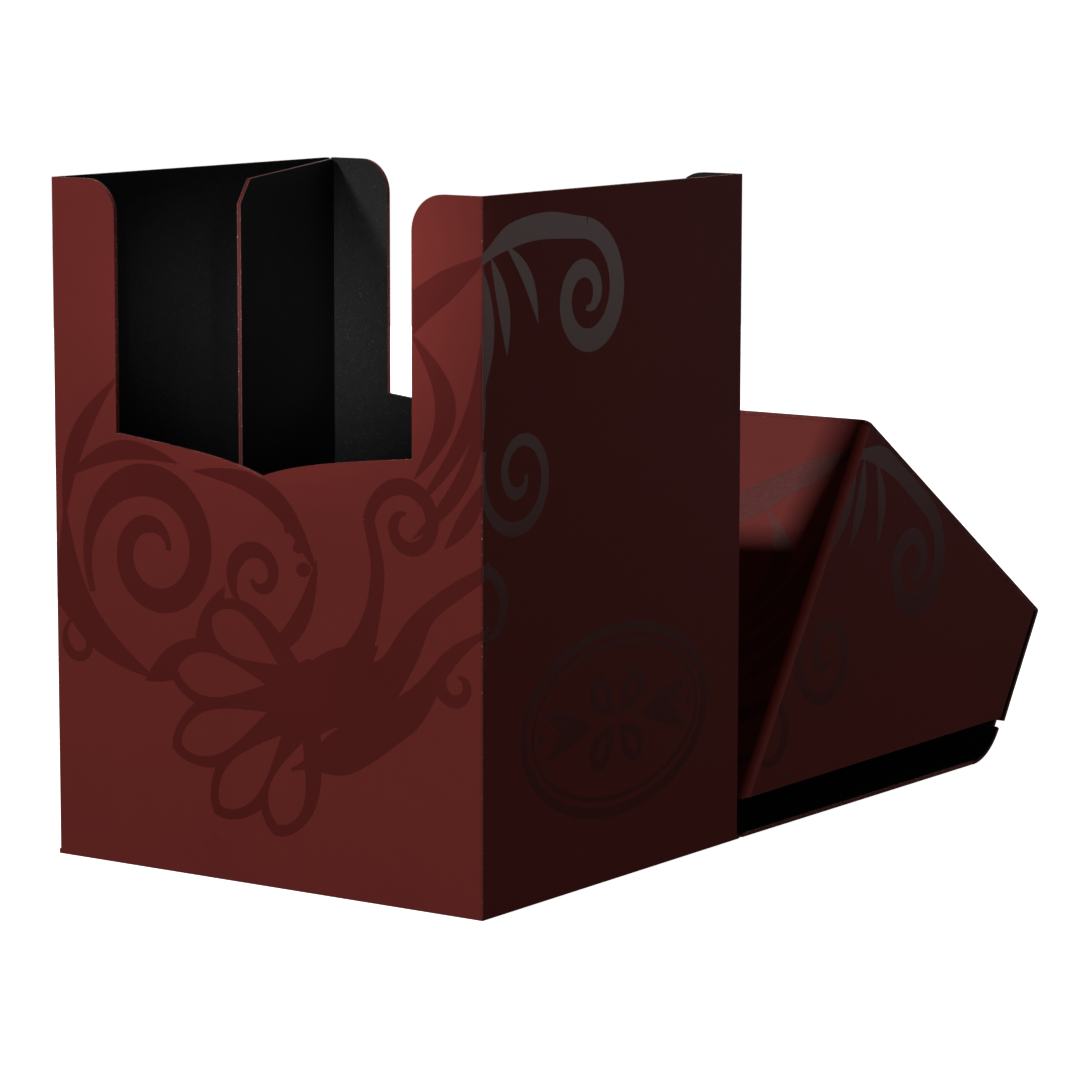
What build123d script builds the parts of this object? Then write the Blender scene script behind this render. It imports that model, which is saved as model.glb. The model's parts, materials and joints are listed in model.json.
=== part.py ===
"""Card deck box folded from thin coated sheet: an open-topped box, a cover sheet glued under it that runs on
as a spine, and a hood-shaped lid on the end of the spine. The box stands open, with its spine flat on the table
behind it and the lid leaning back over the spine.

Millimetres. The origin is the middle of the underside of the box, +Z is up, -Y is the front, +X is the right
side as seen from the front. Each node is one physical piece and is written to parts/NODE.step.
"""

import os
from math import cos, radians, sin, tan

from build123d import *

# Sheet stock: a coloured cover skin outside and a black lining film inside.
SKIN = 0.4
LINING = 0.3
SHEET = SKIN + LINING
TAB = 0.4  # glue tabs are one skin thick
FOLD_R = 0.45  # outer radius of a creased corner
MIN_R = 0.05  # least inner radius of a creased corner

# Box.
BOX_W = 74.2
BOX_D = 64.0
BOX_H = 96.5

# Finger window cut in the top of the front and back walls.
WINDOW_HALF = 25.6  # half of its clear width
WINDOW_CORNER_Z = 61.2  # where each straight side ends
WINDOW_POINT_Z = 57.0  # the point in the middle of its lower edge
WINDOW_BEND_Z = (59.9, 59.0)  # control heights of each brace-shaped half of its lower edge
LUG_R = 5.0  # rounded inner corner at the top of each lug
RELIEF_W = 0.9  # relief nick at the top of the back left crease
RELIEF_H = 0.35

# Glue tabs inside the box.
FLOOR_TAB_H = 9.0
FLOOR_TAB_MARGIN = 4.0  # from a wall to the end of a floor tab
SEAM_TAB_W = 11.0
SEAM_TAB_DROP = 1.0  # from the top of the walls to the top of the seam tab
TAB_CHAMFER = 3.0

# Spine hinge: the crease behind the box, clear of its back wall.
HINGE_GAP = 0.3
HINGE_Y = BOX_D / 2 + HINGE_GAP + SHEET / 2
HINGE_Z = SHEET / 2
CREASE_HALF = 0.8  # half length of the thinned web at a crease
CREASE_T = 0.45

# Lid: a hood, tilted back from upright about the fold at the end of the spine.
LID_TILT = 33.2
LID_W = 75.8
LID_D = 65.7
LID_FOLD_R = 1.2  # outer radius of the creases between its front and its sides
LID_FRONT = 62.4  # height of its front panel
LID_BACK = 19.9  # height of its back panel
LID_FOOT_GAP = 0.5  # from the box's back wall to the foot of the lid's front panel
LID_FOOT_Z = 5.9
LID_TAB_W = 9.0
LID_TAB_MARGIN = 6.0  # from the front of the hood to its top tabs
LID_TAB_CLEAR = 2.0  # from the back tabs to the heel and to the top

# Curl of the cover sheet between the spine and the lid.
CURL_R = 9.65  # mid-sheet radius
CURL_W = 75.4
SPINE_TAB_W = 73.8
SPINE_TAB_L = 17.0

# Inner flap: a tall panel hinged in the back left corner, held between two black films.
FLAP_L = 58.7
FLAP_ANGLE = 24.7  # from the left wall
FLAP_CORE = 0.3
FLAP_FILM = 0.1
FLAP_X = -BOX_W / 2 + SHEET + TAB + 0.6
FLAP_Y = BOX_D / 2 - SHEET - 0.7
FLAP_CHAMFER_W = 5.8
FLAP_CHAMFER_H = 3.1
FLAP_FOOT_GAP = 0.4
FLAP_TOP_GAP = 0.1  # below the top of the walls
FLAP_WEB_LAP = 0.3  # how far its crease runs past the hinge axis
FLAP_WEB_T = 0.4

FLOOR_Z = SHEET  # top of the base sheet, where the walls stand
INSIDE_Z = FLOOR_Z + SHEET  # top of the floor lining
BIG = 200.0  # reach of a cutter past the whole box
MITRE = 6.0  # reach of a mitre wedge to either side of a corner

# Lid frame: origin on the fold axis, +Z up the back panel, -Y to the front of the hood.
TILT = radians(LID_TILT)
BACK_OUT_Y = SHEET / 2 + SHEET  # outer face of the back panel, outside the spine's tab
FRONT_OUT_Y = BACK_OUT_Y - LID_D
FOOT_Y = BOX_D / 2 + LID_FOOT_GAP
# The lid's back corner follows from the foot of its front panel, going up the front and back along the top.
CORNER_Y = FOOT_Y + LID_FRONT * sin(TILT) + LID_D * cos(TILT)
CORNER_Z = LID_FOOT_Z + LID_FRONT * cos(TILT) - LID_D * sin(TILT)
# The fold axis is where the line of the spine's tab meets mid-sheet height of the flat spine.
LID_TOP = (CORNER_Z - SHEET / 2 + BACK_OUT_Y * sin(TILT)) / cos(TILT)
FOLD_Y = CORNER_Y - LID_TOP * sin(TILT) - BACK_OUT_Y * cos(TILT)
FOLD_Z = SHEET / 2
LID_PLACE = Pos(0, FOLD_Y, FOLD_Z) * Rot(X=-LID_TILT)

# The curl meets the flat spine and the straight tab at this distance from the fold axis.
CURL_TURN = 90 - LID_TILT
CURL_RUN = CURL_R * tan(radians(CURL_TURN / 2))


def save(node, shape):
    """Writes one node; a group stays a compound of separate solids."""
    export_step(shape, os.path.join("parts", node + ".step"))


def block(x0, x1, y0, y1, z0, z1):
    """Box between two corners."""
    return Pos((x0 + x1) / 2, (y0 + y1) / 2, (z0 + z1) / 2) * Box(x1 - x0, y1 - y0, z1 - z0)


def prism_z(points, z0, z1):
    """Outline in plan, extruded upwards."""
    return Pos(0, 0, z0) * extrude(make_face(Polyline(*points, close=True)), z1 - z0)


def prism_x(points, x0, x1):
    """Outline of (y, z) points, extruded along X."""
    outline = make_face(Polyline(*[(x0, y, z) for y, z in points], close=True))
    return extrude(outline, x1 - x0, dir=(1, 0, 0))


def tube(width, depth, radius, wall, z0, z1):
    """Rectangular tube with rounded corners."""
    outer = RectangleRounded(width, depth, radius)
    inner = RectangleRounded(width - 2 * wall, depth - 2 * wall, max(radius - wall, MIN_R))
    return Pos(0, 0, z0) * extrude(outer - inner, z1 - z0)


def mitre_y(width, depth, side):
    """Plan wedge that keeps the wall on side -1 (front) or +1 (back), mitred at both corners."""
    x, y = width / 2, side * depth / 2
    outside = [(-x - MITRE, y + side * MITRE), (x + MITRE, y + side * MITRE)]
    inside = [(x - MITRE, y - side * MITRE), (-x + MITRE, y - side * MITRE)]
    return prism_z(outside + inside, -BIG, BIG)


def mitre_x(width, depth, side):
    """Plan wedge that keeps the wall on side -1 (left) or +1 (right), mitred at both corners."""
    x, y = side * width / 2, depth / 2
    outside = [(x + side * MITRE, -y - MITRE), (x + side * MITRE, y + MITRE)]
    inside = [(x - side * MITRE, y - MITRE), (x - side * MITRE, -y + MITRE)]
    return prism_z(outside + inside, -BIG, BIG)


def window_cutter():
    """Everything above the lower edge of the finger window and between its lugs."""
    x, top = WINDOW_HALF, BOX_H
    bends = [(x / 2, WINDOW_BEND_Z[0]), (x / 5, WINDOW_BEND_Z[1])]
    right = [
        Line((x + LUG_R, top + 1), (x + LUG_R, top)),
        RadiusArc((x + LUG_R, top), (x, top - LUG_R), -LUG_R),
        Line((x, top - LUG_R), (x, WINDOW_CORNER_Z)),
        Bezier((x, WINDOW_CORNER_Z), *bends, (0, WINDOW_POINT_Z)),
    ]
    left = [mirror(edge, about=Plane.YZ) for edge in right]
    lid = Line((-x - LUG_R, top + 1), (x + LUG_R, top + 1))
    face = make_face(Curve() + right + left + lid)
    return extrude(Plane.XZ * face, BIG / 2, both=True)


def build_box_walls():
    """Four walls of skin and four of lining, creased at three corners and glued at the back right one."""
    inner_w, inner_d = BOX_W - 2 * SKIN, BOX_D - 2 * SKIN
    skin = tube(BOX_W, BOX_D, FOLD_R, SKIN, FLOOR_Z, BOX_H)
    lining = tube(inner_w, inner_d, FOLD_R - SKIN, LINING, INSIDE_Z, BOX_H)
    window = window_cutter()
    nick = block(-1, RELIEF_W, -RELIEF_W, 1, -RELIEF_H, 1)
    nick = Pos(-BOX_W / 2, BOX_D / 2, BOX_H) * nick
    for name, side in (("front", -1), ("back", 1)):
        wedge = mitre_y(BOX_W, BOX_D, side) - nick
        save(name + "_wall", skin & wedge - window)
        save(name + "_wall_lining", lining & wedge - window)
    for name, side in (("left", -1), ("right", 1)):
        wedge = mitre_x(BOX_W, BOX_D, side) - nick
        save(name + "_wall", skin & wedge)
        save(name + "_wall_lining", lining & wedge)


def build_box_floor():
    """Floor panel with its lining and three turned-up glue tabs, on the base sheet of the cover."""
    save("base_sheet", block(-BOX_W / 2, BOX_W / 2, -BOX_D / 2, BOX_D / 2, 0, FLOOR_Z))
    plan = RectangleRounded(BOX_W - 2 * SKIN, BOX_D - 2 * SKIN, FOLD_R - SKIN)
    save("floor_panel", Pos(0, 0, FLOOR_Z) * extrude(plan, SKIN))
    save("floor_lining", Pos(0, 0, FLOOR_Z + SKIN) * extrude(plan, LINING))
    wall_x, wall_y = BOX_W / 2 - SHEET, BOX_D / 2 - SHEET
    top, chamfer = INSIDE_Z + FLOOR_TAB_H, TAB_CHAMFER
    for name, side in (("left", -1), ("right", 1)):
        y0, y1 = -wall_y + FLOOR_TAB_MARGIN, wall_y - SEAM_TAB_W - FLOOR_TAB_MARGIN
        outline = [(y0, INSIDE_Z), (y0, top - chamfer), (y0 + chamfer, top)]
        outline += [(y1 - chamfer, top), (y1, top - chamfer), (y1, INSIDE_Z)]
        inner = side * (wall_x - TAB)
        save("floor_tab_" + name, prism_x(outline, min(inner, side * wall_x), max(inner, side * wall_x)))
    x1 = wall_x - FLOOR_TAB_MARGIN
    outline = [(-x1, INSIDE_Z), (-x1, top - chamfer), (-x1 + chamfer, top)]
    outline += [(x1 - chamfer, top), (x1, top - chamfer), (x1, INSIDE_Z)]
    face = make_face(Polyline(*[(x, -wall_y, z) for x, z in outline], close=True))
    save("floor_tab_front", extrude(face, TAB, dir=(0, 1, 0)))


def build_wall_seam():
    """Glue tab of the back wall, turned forward along the inside of the right wall."""
    wall_x, y1 = BOX_W / 2 - SHEET, BOX_D / 2 - SHEET - FOLD_R
    y0, z0, z1 = y1 - SEAM_TAB_W, INSIDE_Z, BOX_H - SEAM_TAB_DROP
    outline = [(y1, z0), (y1, z1), (y0 + TAB_CHAMFER, z1), (y0, z1 - 2 * TAB_CHAMFER)]
    outline += [(y0, z0 + 2 * TAB_CHAMFER), (y0 + TAB_CHAMFER, z0)]
    save("wall_seam_tab", prism_x(outline, wall_x - TAB, wall_x))


def build_spine():
    """Flat spine behind the box, a little wider towards the lid, and the thinned crease that it hinges on."""
    y0, y1 = HINGE_Y + CREASE_HALF, FOLD_Y - CURL_RUN
    near, far = BOX_W / 2, CURL_W / 2
    outline = [(-near, y0), (near, y0), (far, y1), (-far, y1)]
    save("spine_panel", prism_z(outline, 0, SKIN))
    save("spine_lining", prism_z(outline, SKIN, SHEET))
    low = HINGE_Z - CREASE_T / 2
    save("base_crease", block(-near, near, BOX_D / 2, y0, low, low + CREASE_T))


def build_curl():
    """Curl of the cover sheet: an arc in the (y, z) plane from the flat spine up to the lid's slope."""
    centre_y, centre_z = FOLD_Y - CURL_RUN, FOLD_Z + CURL_R
    inner, outer = CURL_R - SHEET / 2, CURL_R + SHEET / 2
    ring = extrude(Circle(outer) - Circle(inner), CURL_W)
    ring = Pos(-CURL_W / 2, centre_y, centre_z) * Rot(Y=90) * ring
    turn = radians(CURL_TURN)
    reach = 4 * CURL_R
    start = (centre_y, centre_z - reach)
    corner = (centre_y + reach * tan(turn / 2), centre_z - reach)
    end = (centre_y + reach * sin(turn), centre_z - reach * cos(turn))
    wedge = prism_x([(centre_y, centre_z), start, corner, end], -BIG, BIG)
    save("lid_crease", ring & wedge)


def lid_ring(inset, wall):
    """Front and both sides of the hood as one bent wall, in the lid frame."""
    depth = 2 * LID_D
    width = LID_W - 2 * inset
    ring = tube(width, depth - 2 * inset, LID_FOLD_R - inset, wall, -BIG / 2, LID_TOP - SHEET)
    return Pos(0, FRONT_OUT_Y + LID_D, 0) * ring


def build_lid():
    """Hood: a front, top and back strip, with side panels that turn back from the front panel."""
    foot = LID_TOP - LID_FRONT
    heel = LID_TOP - LID_BACK
    side_end = -SHEET / 2
    top_under = LID_TOP - SHEET
    front_in = FRONT_OUT_Y + SHEET
    profile = [(FRONT_OUT_Y, foot), (FRONT_OUT_Y, top_under), (side_end, top_under), (side_end, heel)]
    flank = prism_x(profile, -BIG, BIG)
    upright = block(-BIG, BIG, FRONT_OUT_Y - 1, front_in, foot, top_under)
    corner_y = FRONT_OUT_Y + LID_D
    for layer, inset, wall in (("", 0, SKIN), ("_lining", SKIN, LINING)):
        ring = lid_ring(inset, wall)
        front = Pos(0, corner_y, 0) * mitre_y(LID_W, 2 * LID_D, -1)
        save("lid_front" + layer, LID_PLACE * (ring & front & upright))
        for name, side in (("left", -1), ("right", 1)):
            wedge = Pos(0, corner_y, 0) * mitre_x(LID_W, 2 * LID_D, side)
            save("lid_" + name + "_side" + layer, LID_PLACE * (ring & wedge & flank))
    build_lid_strip(heel)
    build_lid_tabs(heel, top_under)


def build_lid_strip(heel):
    """Top and back panels, creased to each other, each of skin over lining. The top's front corners are rounded."""
    half = LID_W / 2
    plan = extrude(RectangleRounded(LID_W, 2 * LID_D, LID_FOLD_R), BIG, both=True)
    plan = Pos(0, FRONT_OUT_Y + LID_D, 0) * plan
    for layer, inset, wall in (("", 0, SKIN), ("_lining", SKIN, LINING)):
        y_out, z_out, radius = BACK_OUT_Y - inset, LID_TOP - inset, max(FOLD_R - inset, MIN_R)
        band = [
            (FRONT_OUT_Y, z_out), (y_out, z_out), (y_out, heel),
            (y_out - wall, heel), (y_out - wall, z_out - wall), (FRONT_OUT_Y, z_out - wall),
        ]
        strip = prism_x(band, -half, half)
        rounded = [
            edge for edge in strip.edges().filter_by(Axis.X)
            if abs(edge.center().Y - y_out) < 0.01 and abs(edge.center().Z - z_out) < 0.01
        ]
        strip = fillet(rounded, radius) & plan
        near, far = BACK_OUT_Y - MITRE, BACK_OUT_Y + MITRE
        mitre = [(far, LID_TOP + MITRE), (near, LID_TOP - MITRE), (near, -BIG), (far, -BIG)]
        behind = prism_x(mitre, -BIG, BIG)
        save("lid_top" + layer, LID_PLACE * (strip - behind))
        save("lid_back" + layer, LID_PLACE * (strip & behind))


def build_lid_tabs(heel, top_under):
    """Glue tabs of the hood's side panels, and the spine's tab glued inside its back panel."""
    wall_x = LID_W / 2 - SHEET
    tab_x = wall_x - LID_TAB_W
    y0, y1 = FRONT_OUT_Y + LID_TAB_MARGIN, -SHEET / 2 - TAB_CHAMFER
    z0, z1 = heel + LID_TAB_CLEAR, top_under - LID_TAB_CLEAR
    for name, side in (("left", -1), ("right", 1)):
        flat = [(side * wall_x, y0), (side * tab_x, y0 + LID_TAB_W / 2)]
        flat += [(side * tab_x, y1 - LID_TAB_W / 2), (side * wall_x, y1)]
        save("lid_" + name + "_top_tab", LID_PLACE * prism_z(flat, top_under - TAB, top_under))
        upright = [(side * wall_x, z0), (side * tab_x, z0 + TAB_CHAMFER)]
        upright += [(side * tab_x, z1 - TAB_CHAMFER), (side * wall_x, z1)]
        face = make_face(Polyline(*[(x, -SHEET / 2 - TAB, z) for x, z in upright], close=True))
        save("lid_" + name + "_back_tab", LID_PLACE * extrude(face, TAB, dir=(0, 1, 0)))
    x, start = SPINE_TAB_W / 2, CURL_RUN
    end = start + SPINE_TAB_L
    outer = block(-x, x, SHEET / 2 - SKIN, SHEET / 2, start, end)
    inner = block(-x, x, -SHEET / 2, SHEET / 2 - SKIN, start, end)
    save("spine_tab", LID_PLACE * outer)
    save("spine_tab_lining", LID_PLACE * inner)


def build_inner_flap():
    """Tall inner flap with its free corners cut off, and the crease that joins it to the left wall."""
    low, high = INSIDE_Z + FLAP_FOOT_GAP, BOX_H - FLAP_TOP_GAP
    place = Pos(FLAP_X, FLAP_Y, 0) * Rot(Z=FLAP_ANGLE - 90)
    outline = [
        (CREASE_HALF, low), (FLAP_L - FLAP_CHAMFER_W, low), (FLAP_L, low + FLAP_CHAMFER_H),
        (FLAP_L, high - FLAP_CHAMFER_H), (FLAP_L - FLAP_CHAMFER_W, high), (CREASE_HALF, high),
    ]
    layers = (
        ("inner_flap", -FLAP_CORE / 2, FLAP_CORE),
        ("inner_flap_front_film", FLAP_CORE / 2, FLAP_FILM),
        ("inner_flap_back_film", -FLAP_CORE / 2 - FLAP_FILM, FLAP_FILM),
    )
    for name, offset, thick in layers:
        face = make_face(Polyline(*[(x, offset, z) for x, z in outline], close=True))
        save(name, place * extrude(face, thick, dir=(0, 1, 0)))
    wall_x = -BOX_W / 2 + SHEET
    half = FLAP_WEB_T / 2
    save("flap_crease", block(wall_x, FLAP_X + FLAP_WEB_LAP, FLAP_Y - half, FLAP_Y + half, low, high))


os.makedirs("parts", exist_ok=True)
build_box_walls()
build_box_floor()
build_wall_seam()
build_spine()
build_curl()
build_lid()
build_inner_flap()
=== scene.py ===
"""Looks for the card deck box: coated sheet, lining film, bending creases and spot-gloss scroll print."""
import json
from math import ceil, cos, pi, radians, sin, tan

import bmesh
import bpy
from mathutils import Matrix, Vector
from mathutils.geometry import delaunay_2d_cdt


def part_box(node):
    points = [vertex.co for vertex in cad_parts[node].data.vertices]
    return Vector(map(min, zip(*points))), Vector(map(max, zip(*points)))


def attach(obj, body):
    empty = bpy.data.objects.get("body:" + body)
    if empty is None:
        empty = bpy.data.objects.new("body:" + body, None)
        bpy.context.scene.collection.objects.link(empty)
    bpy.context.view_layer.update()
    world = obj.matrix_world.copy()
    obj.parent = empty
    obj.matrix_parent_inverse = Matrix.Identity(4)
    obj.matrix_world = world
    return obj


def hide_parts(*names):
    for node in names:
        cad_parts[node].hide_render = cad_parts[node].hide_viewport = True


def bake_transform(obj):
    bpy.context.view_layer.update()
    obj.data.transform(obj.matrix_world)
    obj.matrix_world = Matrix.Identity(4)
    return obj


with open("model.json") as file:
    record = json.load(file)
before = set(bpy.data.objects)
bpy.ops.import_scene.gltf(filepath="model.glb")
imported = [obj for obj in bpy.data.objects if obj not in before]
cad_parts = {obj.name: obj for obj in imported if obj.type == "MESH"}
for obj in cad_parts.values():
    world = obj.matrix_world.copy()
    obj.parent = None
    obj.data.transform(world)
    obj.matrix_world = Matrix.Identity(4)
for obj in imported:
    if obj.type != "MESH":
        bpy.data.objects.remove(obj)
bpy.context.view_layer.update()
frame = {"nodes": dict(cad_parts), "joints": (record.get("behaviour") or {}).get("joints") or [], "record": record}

MM = 0.001
NODES = frame["nodes"]
JOINTS = {joint["name"]: joint for joint in frame["joints"]}

# Sheet stock, lid and creases, in millimetres and as the CAD has them.
SKIN = 0.4  # red cover's share of the sheet, the rest being black
SHEET = 0.7
FOLD_R = 0.45
LID_TILT = radians(33.2)
LID_D = 65.7
LID_FOLD_R = 1.2
FLAP_T = 0.5
FLAP_WEB_START = 0.8  # from the flap's hinge axis to the flap

BOX_LOW, BOX_HIGH = (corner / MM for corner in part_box("base_sheet"))
BOX_W = BOX_HIGH.x - BOX_LOW.x
BOX_D = BOX_HIGH.y - BOX_LOW.y
BOX_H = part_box("front_wall")[1].z / MM
LID_W = (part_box("lid_top")[1].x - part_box("lid_top")[0].x) / MM

# The lid's frame: origin on its fold axis, +Z up its back panel, -Y to its front.
FOLD = Vector(JOINTS["lid_fold"]["pos_m"]) / MM
LID_PLACE = Matrix.Translation(FOLD) @ Matrix.Rotation(-LID_TILT, 4, "X")
LID_FRONT_Y = 1.5 * SHEET - LID_D
LID_TOP = max((LID_PLACE.inverted() @ (v.co / MM)).z for v in NODES["lid_top"].data.vertices)


# ---------------------------------------------------------------- materials

# Colours, linear. Each sheet drifts between its colour and the darker one. Raw edges are a lighter red with pale
# flecks: partly the cut core's own colour and fibres, partly a painted highlight along the edges.
RED = (0.164, 0.0238, 0.0196)
RED_DARK = (0.147, 0.0212, 0.0176)
CUT_RED = (0.190, 0.042, 0.040)
CUT_DARK = (0.120, 0.020, 0.020)
CUT_FIBRE_AND_GLINT = (0.520, 0.400, 0.380)
# Lid fold: a lighter red than the sheet, painted light along the rounded crease between the lid's front and its
# sides.
FOLD_PAINTED_LIGHT = (0.330, 0.048, 0.038)
FOLD_PAINTED_LIGHT_DARK = (0.250, 0.032, 0.026)
PRINT_LIGHT = (0.108, 0.0150, 0.0128)
PRINT_DARK = (0.098, 0.0134, 0.0116)
BLACK = (0.0225, 0.0225, 0.0222)
BLACK_DARK = (0.0155, 0.0155, 0.0153)
# Pale flecks in the black film: part grain, part painted sparkle.
BLACK_GRAIN_AND_SPARKLE = (0.042, 0.042, 0.042)
# Inner flap: the same black film as the lining, painted darker as painted shade.
FLAP_SHADE_BLACK = (0.0125, 0.0125, 0.0123)
FLAP_SHADE_BLACK_DARK = (0.0085, 0.0085, 0.0084)
CORE = (0.062, 0.015, 0.014)
CORE_DARK = (0.045, 0.011, 0.010)


def material(name):
    """New material; returns it with its node tree and Principled shader."""
    made = bpy.data.materials.new(name)
    made.use_nodes = True
    tree = made.node_tree
    return made, tree, tree.nodes["Principled BSDF"]


def node(tree, kind, **settings):
    """Adds a node; settings name its properties or, with a leading capital, its inputs."""
    made = tree.nodes.new("ShaderNode" + kind)
    for key, value in settings.items():
        if key[0].isupper():
            made.inputs[key.replace("_", " ")].default_value = value
        else:
            setattr(made, key, value)
    return made


def ramp(tree, source, low, high, value_low, value_high):
    """Maps a value range to another, clamped."""
    made = node(tree, "MapRange", From_Min=low, From_Max=high, To_Min=value_low, To_Max=value_high)
    tree.links.new(source, made.inputs["Value"])
    return made.outputs["Result"]


def noise(tree, size, detail=3.0, roughness=0.55):
    """Noise with features of about size millimetres, fixed to the object."""
    place = node(tree, "TexCoord").outputs["Object"]
    made = node(tree, "TexNoise", Scale=1 / (size * MM), Detail=detail, Roughness=roughness)
    tree.links.new(place, made.inputs["Vector"])
    return made.outputs["Fac"]


def two_colours(tree, factor, low, high):
    """Colour from low to high by a factor."""
    made = node(tree, "Mix", data_type="RGBA")
    factor_in, low_in, high_in = made.inputs[0], made.inputs[6], made.inputs[7]
    for socket, colour in ((low_in, low), (high_in, high)):
        if isinstance(colour, tuple):
            socket.default_value = (*colour, 1)
        else:
            tree.links.new(colour, socket)
    tree.links.new(factor, factor_in)
    return made.outputs[2]


def add_bump(tree, shader, height, strength, distance, below=None):
    """Bump from a height, on top of another bump's normal if one is given."""
    made = node(tree, "Bump", Strength=strength, Distance=distance * MM)
    tree.links.new(height, made.inputs["Height"])
    if below is not None:
        tree.links.new(below, made.inputs["Normal"])
    tree.links.new(made.outputs["Normal"], shader.inputs["Normal"])
    return made.outputs["Normal"]


def sheet_material(name, colour, dark, rough, grain_size, grain_depth, fleck=None, specular=0.35):
    """Coated sheet: fine pebbled grain over a slow drift of colour and sheen, with rare pale flecks if asked."""
    made, tree, shader = material(name)
    drift = noise(tree, 28.0, detail=2.0)
    mottle = noise(tree, grain_size * 6)
    grain = noise(tree, grain_size, detail=4.0, roughness=0.65)
    shade = node(tree, "Math", operation="ADD")
    tree.links.new(ramp(tree, drift, 0.3, 0.7, 0.0, 0.7), shade.inputs[0])
    tree.links.new(ramp(tree, mottle, 0.35, 0.65, 0.0, 0.3), shade.inputs[1])
    tint = two_colours(tree, shade.outputs[0], dark, colour)
    if fleck:
        spots = noise(tree, grain_size * 1.3, detail=1.0)
        tint = two_colours(tree, ramp(tree, spots, 0.64, 0.74, 0.0, 1.0), tint, fleck)
    tree.links.new(tint, shader.inputs["Base Color"])
    tree.links.new(ramp(tree, grain, 0.3, 0.7, rough - 0.06, rough + 0.06), shader.inputs["Roughness"])
    soft = add_bump(tree, shader, mottle, 0.15, grain_depth * 2)
    add_bump(tree, shader, grain, 0.5, grain_depth, below=soft)
    shader.inputs["Specular IOR Level"].default_value = specular
    return made


def print_material():
    """Spot-gloss ink: a clear satin layer that darkens the sheet under it and follows its grain a little."""
    made, tree, shader = material("print_gloss")
    grain = noise(tree, 0.40, detail=4.0, roughness=0.6)
    drift = noise(tree, 20.0, detail=2.0)
    tint = two_colours(tree, ramp(tree, drift, 0.3, 0.7, 0.0, 1.0), PRINT_DARK, PRINT_LIGHT)
    tree.links.new(tint, shader.inputs["Base Color"])
    tree.links.new(ramp(tree, grain, 0.3, 0.7, 0.27, 0.35), shader.inputs["Roughness"])
    add_bump(tree, shader, grain, 0.3, 0.006)
    shader.inputs["Specular IOR Level"].default_value = 0.5
    return made


cover_red = sheet_material("cover_red", RED, RED_DARK, 0.62, 0.40, 0.010, specular=0.12)
# Raw edges: the cut core's red, made lighter with pale flecks, part real and part a painted highlight line.
cut_red = sheet_material("cut_red", CUT_RED, CUT_DARK, 0.72, 0.16, 0.020, fleck=CUT_FIBRE_AND_GLINT, specular=0.2)
# Lighter red for the lid's fold: painted light, not a different sheet colour.
fold_painted_light = sheet_material("fold_painted_light", FOLD_PAINTED_LIGHT, FOLD_PAINTED_LIGHT_DARK, 0.60, 0.30, 0.012, specular=0.2)
lining_black = sheet_material("lining_black", BLACK, BLACK_DARK, 0.66, 0.22, 0.030, fleck=BLACK_GRAIN_AND_SPARKLE, specular=0.03)
flap_painted_shade = sheet_material("flap_painted_shade", FLAP_SHADE_BLACK, FLAP_SHADE_BLACK_DARK, 0.66, 0.22, 0.030, specular=0.03)
flap_core = sheet_material("flap_core", CORE, CORE_DARK, 0.65, 0.18, 0.012, specular=0.2)
print_gloss = print_material()
FACE = {"cover_red": cover_red, "lining_black": lining_black, "flap_core": flap_core}
CUT = {"cover_red": cut_red, "lining_black": cut_red, "flap_core": flap_core}


# ---------------------------------------------------------------- rigid sheets

def link(name, mesh):
    """Object of a mesh, in the scene."""
    made = bpy.data.objects.new(name, mesh)
    bpy.context.scene.collection.objects.link(made)
    return made


FACE_SLOT, CUT_SLOT, FOLD_SLOT, PLAIN_SLOT = range(4)  # material slots of a sheet piece

RAW_W = 0.56  # a cut face is narrower than this, in millimetres
EDGE_SOFT = {"cover_red": 0.08, "lining_black": 0.04, "flap_core": 0.03}
SHARP = radians(40)


def edge_sharpness(edge):
    """Angle between the two faces of an edge."""
    return edge.calc_face_angle(0.0) if len(edge.link_faces) == 2 else pi


def is_cut(face):
    """True for a raw, cut face of a sheet: narrow, with sharp edges along it."""
    longest = max(edge.calc_length() for edge in face.edges)
    around = sum(edge.calc_length() for edge in face.edges)
    sharp = sum(edge.calc_length() for edge in face.edges if edge_sharpness(edge) > SHARP)
    return face.calc_area() / longest < RAW_W * MM and sharp > 0.25 * around


def on_mitre(point, width, near, far):
    """True on the diagonal plane of a creased corner, where two wall nodes meet."""
    across = width / 2 - abs(point.x)
    along = min(point.y - near, far - point.y)
    return abs(across - along) < 0.02 and across < 1.0


def is_joint(edge, body, name):
    """True for an edge that lies on the mitre between two nodes of one folded sheet."""
    points = [vert.co / MM for vert in edge.verts]
    if body == "box":
        return all(on_mitre(point, BOX_W, -BOX_D / 2, BOX_D / 2) for point in points)
    if body != "lid":
        return False
    points = [LID_PLACE.inverted() @ point for point in points]
    if all(on_mitre(point, LID_W, LID_FRONT_Y, LID_FRONT_Y + 2 * LID_D) for point in points):
        return True
    back = 1.5 * SHEET
    drops = [(LID_TOP - point.z, back - point.y) for point in points]
    return all(abs(drop - depth) < 0.02 and drop < SHEET + 0.1 for drop, depth in drops)


def on_lid_fold(face):
    """True for an outer face of the rounded crease between the lid's front and a side."""
    local = LID_PLACE.inverted() @ (face.calc_center_median() / MM)
    turned = LID_PLACE.inverted().to_3x3() @ face.normal
    outside = turned.x * local.x > 0 and turned.y < 0
    return outside and min(abs(turned.x), abs(turned.y)) > 0.05 and abs(turned.z) < 0.05


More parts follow.
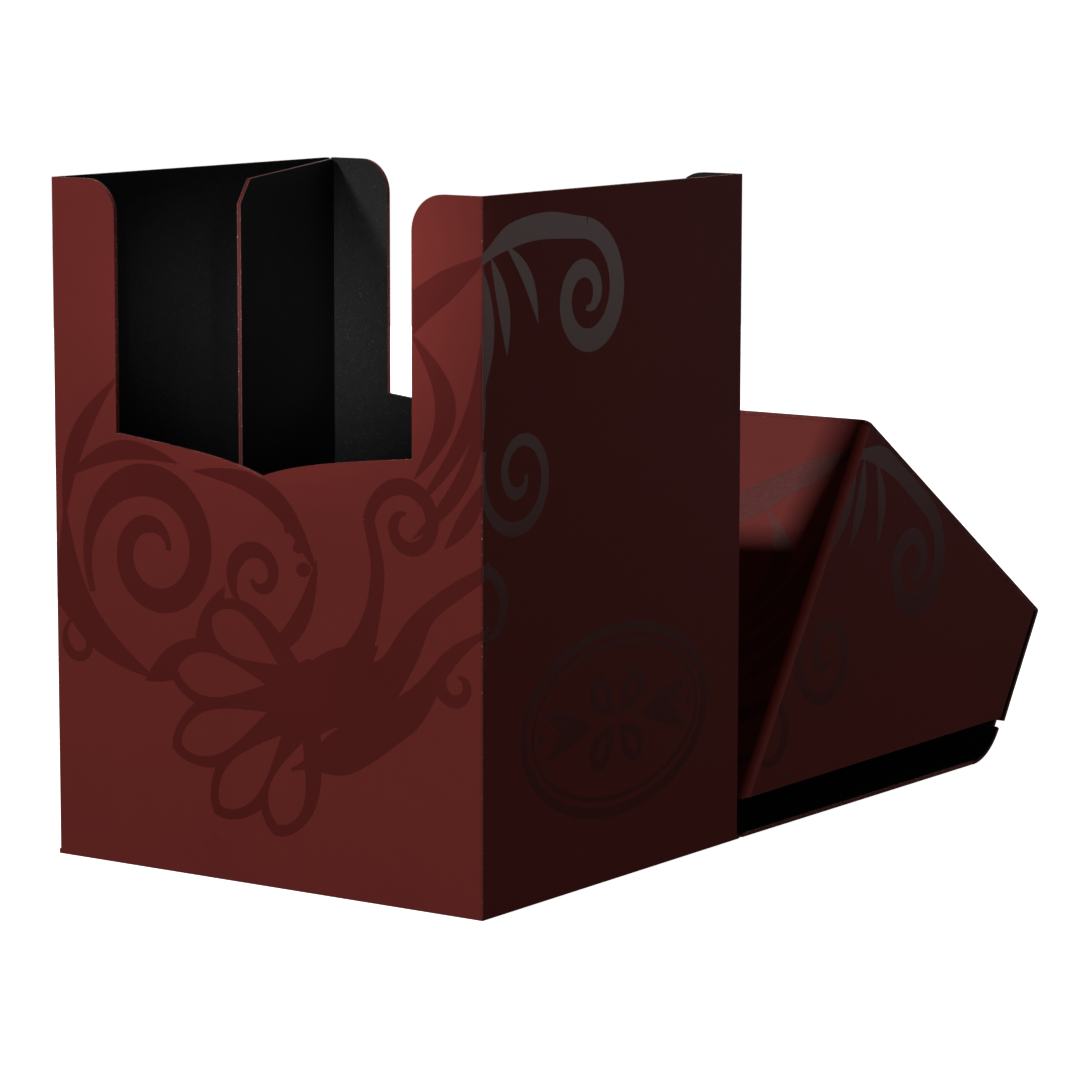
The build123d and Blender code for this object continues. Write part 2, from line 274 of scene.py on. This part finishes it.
def sheet_from_node(name, body, slot):
    """Sheet piece with the CAD node's exact shape, in clean faces, with softened and coloured raw edges."""
    bm = bmesh.new()
    bm.from_mesh(NODES[name].data)
    bmesh.ops.remove_doubles(bm, verts=bm.verts, dist=1e-6)
    bmesh.ops.dissolve_limit(bm, angle_limit=radians(0.4), verts=bm.verts, edges=bm.edges)
    weight = bm.edges.layers.float.new("bevel_weight_edge")
    for face in bm.faces:
        face.smooth = True
        face.material_index = CUT_SLOT if is_cut(face) else FACE_SLOT
        # The lid's rounded crease takes the lighter red: painted light along the fold.
        if body == "lid" and slot == "cover_red" and on_lid_fold(face):
            face.material_index = FOLD_SLOT
        if name.startswith("lid_top") and (LID_PLACE.inverted().to_3x3() @ face.normal).y < -0.9:
            face.material_index = PLAIN_SLOT
    for edge in bm.edges:
        if edge_sharpness(edge) > SHARP:
            edge.smooth = False
            edge[weight] = 0.0 if is_joint(edge, body, name) else 1.0
    mesh = bpy.data.meshes.new(name + "_sheet")
    bm.to_mesh(mesh)
    bm.free()
    # The inner flap's faces take the darker black: painted shade on the flap.
    mesh.materials.append(flap_painted_shade if name.startswith("inner_flap_") else FACE[slot])
    mesh.materials.append(CUT[slot])
    if body == "lid":
        mesh.materials.append(fold_painted_light)
        mesh.materials.append(cover_red)
    piece = link(name + "_sheet", mesh)
    bevel = piece.modifiers.new("raw_edges", "BEVEL")
    bevel.width = EDGE_SOFT[slot] * MM
    bevel.segments = 2
    bevel.limit_method = "WEIGHT"
    bevel.material = CUT_SLOT
    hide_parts(name)
    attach(piece, body)
    return piece


CREASES = ("base_crease", "lid_crease", "flap_crease")
SLOTS = {part["node"]: part["material_slot"] for part in frame["record"]["subparts"]}
for body, members in frame["record"]["behaviour"]["bodies"].items():
    for member in members:
        if member not in CREASES:
            sheet_from_node(member, body, SLOTS[member])


# ---------------------------------------------------------------- bending creases

def crease_strip(name, section, ends, place, materials):
    """Closed strip: section is a list of (outer, inner) points along the bend, ends the two ends of its width, and
    place puts a section point and a width position in the row frame. Materials: outer face, inner face."""
    bm = bmesh.new()
    grid = {}
    for i, (outer, inner) in enumerate(section):
        for layer, point in enumerate((outer, inner.lerp(outer, 1 - SKIN / SHEET), inner)):
            for j, end in enumerate(ends):
                grid[i, j, layer] = bm.verts.new(place(point, end) * MM)

    def quad(keys, slot):
        face = bm.faces.new([grid[key] for key in keys])
        face.material_index = slot
        face.smooth = True

    last = len(section) - 1
    for i in range(last):
        quad([(i, 0, 0), (i, 1, 0), (i + 1, 1, 0), (i + 1, 0, 0)], 0)
        quad([(i, 0, 2), (i + 1, 0, 2), (i + 1, 1, 2), (i, 1, 2)], 1)
        for j in (0, 1):
            for layer in (0, 1):
                quad([(i, j, layer), (i + 1, j, layer), (i + 1, j, layer + 1), (i, j, layer + 1)], layer)
    for i in (0, last):
        for layer in (0, 1):
            quad([(i, 0, layer), (i, 1, layer), (i, 1, layer + 1), (i, 0, layer + 1)], layer)
    bmesh.ops.recalc_face_normals(bm, faces=bm.faces)
    mesh = bpy.data.meshes.new(name)
    bm.to_mesh(mesh)
    bm.free()
    for each in materials:
        mesh.materials.append(each)
    mesh.set_sharp_from_angle(angle=SHARP)
    piece = link(name, mesh)
    return piece


def across_x(point, end):
    """Section in the (y, z) plane, width along X."""
    return Vector((end, point.x, point.y))


def up_z(point, end):
    """Section in plan, width along Z."""
    return Vector((point.x, point.y, end))


def make_base_crease():
    """Thinned bend behind the box, from the base sheet to the spine."""
    start, end = BOX_D / 2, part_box("spine_panel")[0].y / MM
    section = []
    steps = 16
    for i in range(steps + 1):
        share = i / steps
        dip = 0.125 * sin(pi * share) ** 2
        y = start + (end - start) * share
        section.append((Vector((y, dip)), Vector((y, SHEET - dip))))
    piece = crease_strip("base_crease_web", section, (-BOX_W / 2, BOX_W / 2), across_x, (cover_red, lining_black))
    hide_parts("base_crease")
    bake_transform(piece)


def make_lid_crease():
    """Curl of the cover sheet from the flat spine up to the lid."""
    turn = pi / 2 - LID_TILT
    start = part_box("spine_panel")[1].y / MM
    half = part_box("spine_panel")[1].x / MM
    run = FOLD.y - start
    radius = run / tan(turn / 2)
    centre = Vector((start, FOLD.z + radius))
    section = []
    steps = 28
    for i in range(steps + 1):
        angle = turn * i / steps
        out = Vector((sin(angle), -cos(angle)))
        section.append((centre + out * (radius + SHEET / 2), centre + out * (radius - SHEET / 2)))
    piece = crease_strip("lid_crease_web", section, (-half, half), across_x, (cover_red, lining_black))
    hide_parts("lid_crease")
    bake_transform(piece)


def make_flap_crease():
    """Bend of black film from the left wall to the inner flap."""
    axis = Vector(JOINTS["flap_hinge"]["pos_m"]).xy / MM
    low, high = (corner.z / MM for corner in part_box("inner_flap"))
    wall = Vector((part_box("flap_crease")[0].x / MM, axis.y))
    tip = Vector((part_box("inner_flap")[1].x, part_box("inner_flap")[0].y)) / MM
    along = (tip - axis).normalized()
    end = axis + along * FLAP_WEB_START
    section = []
    steps = 12
    for i in range(steps + 1):
        share = i / steps
        point = wall * (1 - share) ** 2 + axis * 2 * share * (1 - share) + end * share ** 2
        heading = (axis - wall) * (1 - share) + (end - axis) * share
        side = Vector((-heading.y, heading.x)).normalized()
        section.append((point + side * FLAP_T / 2, point - side * FLAP_T / 2))
    # The flap's crease takes the same darker black: painted shade.
    piece = crease_strip("flap_crease_web", section, (low, high), up_z, (flap_painted_shade, flap_painted_shade))
    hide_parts("flap_crease")
    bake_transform(piece)


make_base_crease()
make_lid_crease()
make_flap_crease()


# ---------------------------------------------------------------- ornament, flat
# Millimetres: across from the middle of the front panel, drop below the top edge. Beyond either corner the
# ornament runs on round the side.

STEP = 0.6


def smooth_path(points):
    """Even points along a smooth curve through the given ones."""
    points = [Vector(point) for point in points]
    padded = [2 * points[0] - points[1], *points, 2 * points[-1] - points[-2]]
    path = []
    for before, here, there, after in zip(padded, padded[1:], padded[2:], padded[3:]):
        count = max(2, ceil((there - here).length / STEP))
        for i in range(count):
            t = i / count
            bend = (2 * before - 5 * here + 4 * there - after) * t * t
            bend += (3 * here - before - 3 * there + after) * t ** 3
            path.append((2 * here + (there - before) * t + bend) / 2)
    return path + [points[-1]]


def ribbon(path, widths):
    """Band along a path, as quads. Its full width runs smoothly through widths, evenly spaced along it."""
    rows = []
    last = len(path) - 1
    for i, point in enumerate(path):
        heading = path[min(i + 1, last)] - path[max(i - 1, 0)]
        side = Vector((-heading.y, heading.x)).normalized()
        place = i / last * (len(widths) - 1)
        k = min(int(place), len(widths) - 2)
        share = (1 - cos(pi * (place - k))) / 2
        half = (widths[k] * (1 - share) + widths[k + 1] * share) / 2
        rows.append((point - side * half, point + side * half))
    return [[a[0], a[1], b[1], b[0]] for a, b in zip(rows, rows[1:])]


def stem(points, widths):
    """Band along a smooth curve."""
    return ribbon(smooth_path(points), widths)


def volute(centre, radius, inner, start, turns, widths):
    """Spiral band from radius in to inner. start is its outer end's angle and turns its turns, both in degrees."""
    count = max(12, ceil(radians(abs(turns)) * radius / STEP))
    path = []
    for i in range(count + 1):
        share = i / count
        reach = radius + (inner - radius) * share ** 0.8
        angle = radians(start + turns * share)
        path.append(Vector(centre) + reach * Vector((cos(angle), sin(angle))))
    return ribbon(path, widths)


def leaf(start, end, bow, under):
    """Outline between two bows from start to end; bow and under are how far each stands off the line."""
    start, end = Vector(start), Vector(end)
    span = end - start
    side = Vector((-span.y, span.x)).normalized()
    count = max(6, ceil(span.length / STEP))
    outline = []
    for i in range(count + 1):
        share = i / count
        outline.append(start + span * share + side * bow * sin(pi * share) ** 0.9)
    for i in range(count - 1, 0, -1):
        share = i / count
        outline.append(start + span * share + side * under * sin(pi * share) ** 1.1)
    return [outline]


def dot(centre, radius, stretch=1.0, tilt=0.0):
    """Round or egg-shaped spot."""
    count = 14
    spin = Matrix.Rotation(radians(tilt), 2)
    ring = [(radius * cos(2 * pi * i / count), radius * stretch * sin(2 * pi * i / count)) for i in range(count)]
    return [[Vector(centre) + spin @ Vector(point) for point in ring]]


def petal(heart, tip, half):
    """Outline of a petal that is widest near its rounded tip."""
    heart, tip = Vector(heart), Vector(tip)
    span = tip - heart
    side = Vector((-span.y, span.x)).normalized()
    count = max(10, ceil(span.length / STEP))
    shares = [i / count for i in range(count + 1)]
    bows = [half * max(0.0, sin(pi * share ** 1.6)) ** 0.62 for share in shares]
    there = [heart + span * share + side * bow for share, bow in zip(shares, bows)]
    back = [heart + span * share - side * bow for share, bow in zip(shares, bows)]
    return [there + back[-2:0:-1]]


def oval(centre, across, drop, width):
    """Closed ring band of the given half sizes."""
    count = 64
    path = [Vector(centre) + Vector((across * cos(2 * pi * i / count), drop * sin(2 * pi * i / count)))
            for i in range(count + 1)]
    return ribbon(path, (width, width))


def palmette(heart, aim, reach, petals, spread, fat):
    """Fan of outlined petals about a heart; aim is the angle of its axis and spread the angle between petals."""
    heart = Vector(heart)
    whole, hollow = [], []
    for i in range(petals):
        off = i - (petals - 1) / 2
        angle = radians(aim + spread * off)
        away = Vector((cos(angle), sin(angle)))
        length = reach * (1 - 0.05 * off * off)
        whole.append((petal(heart, heart + away * length, fat), True))
        hollow.append((petal(heart + away * length * 0.34, heart + away * (length - 1.7), fat - 2.0), False))
    return whole + hollow


def front_scrolls():
    """Layers of the front panel's ornament: (outlines, inked), each over those before it."""
    layers = []

    def ink(*groups):
        layers.extend((group, True) for group in groups)

    def clear(*groups):
        layers.extend((group, False) for group in groups)

    # Left: a broad volute under the window, inside crescents that curl off the left edge.
    ink(leaf((-24.5, 26.5), (-35.6, 50.0), 1.6, 4.6))
    ink(volute((-19.0, 51.5), 13.0, 2.6, 150, 560, (1.2, 4.6, 3.8, 3.2, 2.6, 0.9)))
    ink(leaf((-34.5, 42.0), (-14.5, 38.8), -4.2, -1.4), leaf((-30.0, 44.8), (-22.0, 41.6), -1.0, 0.9))
    ink(leaf((-35.2, 46.0), (-19.0, 69.4), 8.6, 3.6), leaf((-37.6, 50.5), (-31.0, 64.5), 3.4, -0.4))
    ink(volute((-32.6, 65.4), 3.6, 1.0, 250, -330, (0.5, 1.5, 1.3, 0.5)))
    ink(leaf((-10.0, 62.5), (-21.0, 69.8), -2.6, 1.8), leaf((-6.4, 55.0), (-12.0, 64.8), -1.5, 1.5))
    # Middle: an open scroll with a row of beads along its inside.
    ink(leaf((-12.0, 39.6), (9.8, 52.5), -6.4, -3.2), leaf((9.6, 50.0), (-2.4, 65.6), -4.4, -1.6))
    ink(volute((-0.6, 53.2), 5.6, 1.2, 110, 400, (0.6, 2.4, 2.0, 1.6, 0.7)))
    ink(dot((4.8, 46.0), 0.8, 1.3, 35), dot((6.6, 48.6), 0.9, 1.3, 60), dot((7.3, 51.7), 1.0, 1.3, 80))
    # Bottom: a palmette, with stems that rise from its heart and run round the corner.
    layers.extend(palmette((9.5, 68.5), 158, 27.5, 5, 24, 5.1))
    ink(leaf((20.0, 61.0), (3.0, 74.0), 4.4, -4.4), dot((9.0, 69.0), 5.2, 1.0))
    clear(dot((9.6, 70.4), 0.9, 1.9, 45), leaf((15.5, 70.6), (10.6, 80.0), 1.5, -1.5))
    ink(stem([(7.0, 72.0), (16.6, 62.0), (19.8, 52.0), (18.4, 43.9)], (3.0, 4.6, 2.4, 1.9)))
    ink(volute((24.8, 44.2), 6.5, 1.5, 181, 440, (1.9, 2.3, 2.1, 1.9, 1.7, 0.6)))
    ink(stem([(6.0, 72.5), (20.5, 66.0), (28.0, 56.0), (37.1, 49.8), (38.6, 49.2)], (1.0, 8.6, 4.6, 2.4, 1.8)))
    ink(stem([(5.0, 79.6), (15.0, 75.6), (25.0, 69.4), (32.0, 61.4), (38.4, 57.0)], (0.5, 6.4, 5.2, 2.6, 0.8)))
    ink(volute((33.0, 65.0), 3.4, 1.0, 215, -300, (2.6, 1.8, 1.4, 0.5)))
    # Right lug: a band over a crescent and long strokes, all running round the corner.
    ink(stem([(6.0, 31.0), (14.0, 24.0), (24.0, 16.8), (32.0, 11.4), (38.6, 7.4)], (0.4, 4.0, 5.4, 4.2, 0.9)))
    ink(volute((11.0, 15.0), 8.6, 1.6, 60, 500, (0.6, 3.2, 2.6, 2.2, 0.7)))
    ink(volute((-14.0, 20.0), 9.4, 1.6, 120, -500, (0.6, 3.4, 2.8, 2.2, 0.7)))
    ink(leaf((4.0, 22.0), (-9.0, 33.0), 3.4, -0.6), leaf((-3.0, 26.0), (9.5, 36.0), -3.0, 0.8))
    ink(leaf((25.4, 18.5), (25.9, 38.0), -7.2, -3.8), leaf((26.4, 41.5), (37.6, 15.0), 4.6, 2.2))
    ink(leaf((25.4, 46.2), (37.6, 26.0), 4.0, 1.6), leaf((30.8, 47.0), (37.6, 37.0), 2.0, -0.6))
    return layers


def side_scrolls():
    """Layers of the right side panel's ornament; across is measured from the corner here."""
    layers = []

    def ink(*groups):
        layers.extend((group, True) for group in groups)

    # A stem from the corner that rolls up into a volute, with leaves under it.
    ink(stem([(-0.4, 8.4), (6.0, 5.6), (14.0, 4.6), (24.0, 5.4)], (1.4, 3.4, 3.6, 3.0)))
    ink(volute((24.0, 14.6), 9.2, 1.6, -90, 540, (3.0, 3.6, 3.0, 2.6, 2.2, 0.8)))
    ink(leaf((5.0, 6.6), (12.6, 17.6), -2.6, -0.4), leaf((1.6, 8.0), (5.4, 21.4), -2.4, 0.2))
    ink(leaf((0.0, 9.6), (0.2, 25.6), -2.4, 0.0))
    # A spiral, and a small curl below it, that the front panel's stems run into.
    ink(volute((8.4, 37.4), 9.4, 1.4, 205, -560, (1.6, 2.0, 1.8, 1.6, 1.7, 0.8)))
    ink(volute((0.2, 55.0), 5.8, 3.4, -98, 200, (1.6, 2.0, 1.5, 0.4)))
    return layers


def rosette():
    """Plain quatrefoil in a double oval ring, with a pair of leaves to either side."""
    layers = [(oval((0, 0), 22.5, 12.8, 1.5), True), (oval((0, 0), 20.4, 10.9, 0.7), True)]
    for quarter in range(4):
        angle = radians(45 + 90 * quarter)
        away = Vector((cos(angle), sin(angle)))
        layers.append((petal(away * 0.8, away * 8.6, 2.5), True))
        layers.append((petal(away * 3.2, away * 7.2, 1.0), False))
    for way in (-1, 1):
        layers.append((leaf((way * 6.0, 0), (way * 17.4, -3.4), 2.2 * way, -0.6 * way), True))
        layers.append((leaf((way * 6.0, 0), (way * 17.4, 3.4), 0.6 * way, -2.2 * way), True))
        layers.append((dot((way * 18.4, 0), 0.8), True))
    return layers


def moved(layers, across, drop=0.0, mirror=False):
    """Layers shifted, after a mirror image left for right if asked."""
    way = -1 if mirror else 1
    made = []
    for outlines, inked in layers:
        made.append(([[Vector((way * p.x + across, p.y + drop)) for p in outline] for outline in outlines], inked))
    return made


# ---------------------------------------------------------------- ornament, on the sheet

class Wrap:
    """Three walls, left side, front and right side, unrolled about the middle of the front."""

    def __init__(self, width, front, top, radius, place):
        self.half, self.front, self.top, self.radius, self.place = width / 2, front, top, radius, place

    def point(self, across, drop, lift):
        """Place on the outer faces, lifted off them, in the row frame."""
        reach = abs(across) - (self.half - self.radius)
        arc = self.radius * pi / 2
        radius = self.radius + lift
        if reach <= 0:
            x, y = abs(across), self.front - lift
        elif reach < arc:
            angle = reach / self.radius
            x = self.half - self.radius + radius * sin(angle)
            y = self.front + self.radius - radius * cos(angle)
        else:
            x, y = self.half + lift, self.front + self.radius + reach - arc
        return self.place @ Vector((x if across > 0 else -x, y, self.top - drop))

    def flat(self, point):
        """Unrolled place of a point on the flat outer faces, or None if it isn't on one."""
        local = self.place.inverted() @ point
        if abs(local.y - self.front) < 0.01:
            return Vector((local.x, self.top - local.z))
        if abs(abs(local.x) - self.half) < 0.01:
            reach = self.half + self.radius * (pi / 2 - 2) + local.y - self.front
            return Vector((reach if local.x > 0 else -reach, self.top - local.z))
        return None

    def creases(self):
        """Where the ornament is cut so that it can bend round each corner."""
        cuts = 6
        start = self.half - self.radius
        return [way * (start + self.radius * pi / 2 * i / cuts) for way in (-1, 1) for i in range(cuts + 1)]


def outlines_of(name, wrap):
    """Flat outlines of a wall node's outer face."""
    bm = bmesh.new()
    bm.from_mesh(NODES[name].data)
    bmesh.ops.remove_doubles(bm, verts=bm.verts, dist=1e-6)
    bmesh.ops.dissolve_limit(bm, angle_limit=radians(0.4), verts=bm.verts, edges=bm.edges)
    made = []
    for face in bm.faces:
        flat = [wrap.flat(vert.co / MM) for vert in face.verts]
        if None not in flat and face.calc_area() > 100 * MM * MM:
            made.append(flat)
    bm.free()
    return made


EDGE_MARGIN = 0.22  # the ink stops this far from a raw edge
INK_UNDER = -0.01
INK_OVER = 0.014


def inked_triangles(layers, panels, wrap, over_folds):
    """Flat mesh of what is inked on the panels: each layer covers those before it."""
    verts, faces, level = [], [], []

    def add(outline, rank):
        turned = sum(a.cross(b) for a, b in zip(outline, outline[1:] + outline[:1])) < 0
        outline = outline[::-1] if turned else outline
        faces.append(list(range(len(verts), len(verts) + len(outline))))
        verts.extend(outline)
        level.append(rank)

    start = wrap.half - wrap.radius
    end = start + wrap.radius * pi / 2
    for outline in panels:
        add(outline, "panel")
        for here, there in zip(outline, outline[1:] + outline[:1]):
            bend = all(min(abs(abs(p.x) - start), abs(abs(p.x) - end)) < 0.02 for p in (here, there))
            if not bend and (there - here).length > 1e-4:
                ends = (there - here).normalized() * EDGE_MARGIN
                for quad in ribbon([here - ends, there + ends], (2 * EDGE_MARGIN, 2 * EDGE_MARGIN)):
                    add(quad, "margin")
    for way in (-1, 1) if over_folds else ():
        drops = [p.y for outline in panels for p in outline if abs(p.x - way * start) < 0.02]
        low, high = min(drops) + EDGE_MARGIN, max(drops) - EDGE_MARGIN
        corners = ((start, low), (end, low), (end, high), (start, high))
        add([Vector((way * across, drop)) for across, drop in corners], "panel")
    for rank, (outlines, inked) in enumerate(layers):
        for outline in outlines:
            add(outline, (rank, inked))
    points, _, triangles, _, _, sources = delaunay_2d_cdt(verts, [], faces, 1, 1e-4)
    bm = bmesh.new()
    made = [bm.verts.new((*point, 0)) for point in points]
    for triangle, source in zip(triangles, sources):
        found = [level[i] for i in source]
        ranks = [each for each in found if isinstance(each, tuple)]
        if "panel" in found and "margin" not in found and ranks and max(ranks)[1]:
            bm.faces.new([made[i] for i in triangle])
    return bm


def print_piece(name, body, layers, panels, wrap, over_folds):
    """Thin closed layer of ink on a body's walls."""
    bm = inked_triangles(layers, panels, wrap, over_folds)
    bmesh.ops.delete(bm, geom=[v for v in bm.verts if not v.link_faces], context="VERTS")
    bmesh.ops.dissolve_limit(bm, angle_limit=radians(1), verts=bm.verts, edges=bm.edges)
    for across in wrap.creases():
        whole = bm.verts[:] + bm.edges[:] + bm.faces[:]
        bmesh.ops.bisect_plane(bm, geom=whole, plane_co=(across, 0, 0), plane_no=(1, 0, 0), dist=1e-5)
    solid = bmesh.new()
    sides = [{}, {}]
    for side, lift in zip(sides, (INK_OVER, INK_UNDER)):
        for vert in bm.verts:
            side[vert] = solid.verts.new(wrap.point(vert.co.x, vert.co.y, lift) * MM)
    over, under = sides
    for face in bm.faces:
        solid.faces.new([over[vert] for vert in face.verts])
        solid.faces.new([under[vert] for vert in reversed(face.verts)])
    for edge in bm.edges:
        if len(edge.link_faces) == 1:
            a, b = edge.verts
            solid.faces.new([over[a], over[b], under[b], under[a]])
    bmesh.ops.recalc_face_normals(solid, faces=solid.faces)
    mesh = bpy.data.meshes.new(name)
    solid.to_mesh(mesh)
    solid.free()
    bm.free()
    mesh.materials.append(print_gloss)
    piece = link(name, mesh)
    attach(piece, body)
    return piece


ROSETTE_DROP = 74.0  # from the box's top edge to the middle of the rosette
LID_RISE = 2.7  # how much higher the ornament sits on the lid than on the box


def make_prints():
    """The same ornament on the box and, a little higher, on the lid."""
    box = Wrap(BOX_W, -BOX_D / 2, BOX_H, FOLD_R, Matrix.Identity(4))
    lid = Wrap(LID_W, LID_FRONT_Y, LID_TOP, LID_FOLD_R, LID_PLACE)
    for name, body, wrap, rise, walls in (
        ("box_scroll_print", "box", box, 0.0, ("front_wall", "left_wall", "right_wall")),
        ("lid_scroll_print", "lid", lid, LID_RISE, ("lid_front", "lid_left_side", "lid_right_side")),
    ):
        side = side_scrolls()
        half = wrap.half
        layers = moved(side, half, -rise) + moved(side, -half, -rise, mirror=True)
        # The side's scrolls stop at the fold; the front's own run on past it.
        front = [Vector(corner) for corner in ((-half, 0), (half, 0), (half, BOX_H), (-half, BOX_H))]
        layers += [([front], False)] + moved(front_scrolls(), 0, -rise)
        if body == "box":
            layers += moved(rosette(), half + BOX_D / 2, ROSETTE_DROP)
            layers += moved(rosette(), -half - BOX_D / 2, ROSETTE_DROP)
        panels = [outline for wall in walls for outline in outlines_of(wall, wrap)]
        print_piece(name, body, layers, panels, wrap, over_folds=body == "box")


make_prints()


# ---------------------------------------------------------------- stage, light, camera

# Metres and watts. Each light has a place, a point that it is turned to, a size or a cone, and its power.
FLOOR_DROP = -0.00005
FLOOR_REACH = 40.0
SKY = 0.02
MIDDLE = (0, 0, 0.05)
KEY = 3.6
KEY_AT = (-0.08, -0.46, 0.48)
KEY_SIZE = (0.10, 0.10)
SIDE = 0.47
SIDE_AT = (0.79, -0.09, 0.075)
SIDE_AIM = (0.04, 0.02, 0.05)
SIDE_SIZE = (0.30, 0.12)
CARD = 0.30
CARD_AT = (0.42, 0.56, 0.085)
CARD_AIM = (0.03, 0, 0.06)
CARD_SIZE = (0.90, 0.17)
BACK_FILL = 1.6
BACK_AT = (-0.45, 0.62, 0.20)
BACK_AIM = (0, 0.06, 0.05)
BACK_SIZE = (0.50, 0.50)
LUG = 18.9
LUG_FROM = (0.328, -0.500, 0.183)
LUG_AIM = (-0.037, 0.031, 0.070)
LUG_CONE = radians(3.5)
WALL = 3.36
WALL_FROM = (0.382, -0.420, 0.176)
WALL_AIM = (-0.036, -0.006, 0.078)
WALL_CONE = radians(3.2)

# The camera's place, in metres, its turn from the front, its tilts and its lens.
CAMERA_AT = Vector((0.36406, -0.49067, 0.13197))
CAMERA_YAW = radians(34.711)
CAMERA_DOWN = radians(8.145)
CAMERA_ROLL = radians(0.104)
CAMERA_LENS = 144.08


def area_light(name, at, towards, size, power):
    """Soft rectangular light, out of the camera's sight."""
    data = bpy.data.lights.new(name, "AREA")
    data.shape = "RECTANGLE"
    data.size, data.size_y = size
    data.energy = power
    light = link(name, data)
    light.location = at
    light.rotation_euler = (Vector(at) - Vector(towards)).to_track_quat("Z", "Y").to_euler()
    light.visible_camera = False
    return light


def spot_light(name, at, towards, cone, power):
    """Narrow soft-edged light that reaches the black inside through the front window."""
    data = bpy.data.lights.new(name, "SPOT")
    data.energy = power
    data.spot_size = cone
    data.spot_blend = 0.5
    data.shadow_soft_size = 0.015
    light = link(name, data)
    light.location = at
    light.rotation_euler = (Vector(at) - Vector(towards)).to_track_quat("Z", "Y").to_euler()
    light.visible_camera = False


def make_stage():
    """Pale floor that gives no light back to the object, a dim sky, a soft key and a low card for the gloss."""
    scene = bpy.context.scene
    mesh = bpy.data.meshes.new("floor")
    corners = [(-1, -1), (1, -1), (1, 1), (-1, 1)]
    mesh.from_pydata([(x * FLOOR_REACH, y * FLOOR_REACH, FLOOR_DROP) for x, y in corners], [], [(0, 1, 2, 3)])
    floor = link("floor", mesh)
    pale, _, shader = material("floor_pale")
    shader.inputs["Base Color"].default_value = (0.9, 0.9, 0.9, 1)
    shader.inputs["Roughness"].default_value = 0.9
    shader.inputs["Emission Color"].default_value = (1, 1, 1, 1)
    shader.inputs["Emission Strength"].default_value = 1.0
    mesh.materials.append(pale)
    floor.visible_diffuse = False
    floor.visible_glossy = False
    floor.visible_shadow = False

    world = bpy.data.worlds.new("studio")
    scene.world = world
    world.use_nodes = True
    world.node_tree.nodes["Background"].inputs["Color"].default_value = (1, 1, 1, 1)
    world.node_tree.nodes["Background"].inputs["Strength"].default_value = SKY
    world.cycles_visibility.glossy = False
    world.cycles_visibility.camera = True

    area_light("key", KEY_AT, MIDDLE, KEY_SIZE, KEY)
    area_light("side_light", SIDE_AT, SIDE_AIM, SIDE_SIZE, SIDE)
    area_light("gloss_card", CARD_AT, CARD_AIM, CARD_SIZE, CARD)
    area_light("back_fill", BACK_AT, BACK_AIM, BACK_SIZE, BACK_FILL)
    spot_light("window_light_back", LUG_FROM, LUG_AIM, LUG_CONE, LUG)
    spot_light("window_light_left", WALL_FROM, WALL_AIM, WALL_CONE, WALL)


def make_camera():
    """Camera at the height and turn that the object is seen from, far back with a long lens."""
    data = bpy.data.cameras.new("camera")
    data.sensor_width = 36.0
    data.lens = CAMERA_LENS
    data.clip_end = 200.0
    camera = link("camera", data)
    turn = Matrix.Rotation(CAMERA_YAW, 4, "Z") @ Matrix.Rotation(pi / 2 - CAMERA_DOWN, 4, "X")
    camera.matrix_world = Matrix.Translation(CAMERA_AT) @ turn @ Matrix.Rotation(CAMERA_ROLL, 4, "Z")
    bpy.context.scene.camera = camera



make_stage()
make_camera()
bpy.context.scene.view_settings.view_transform = "Standard"
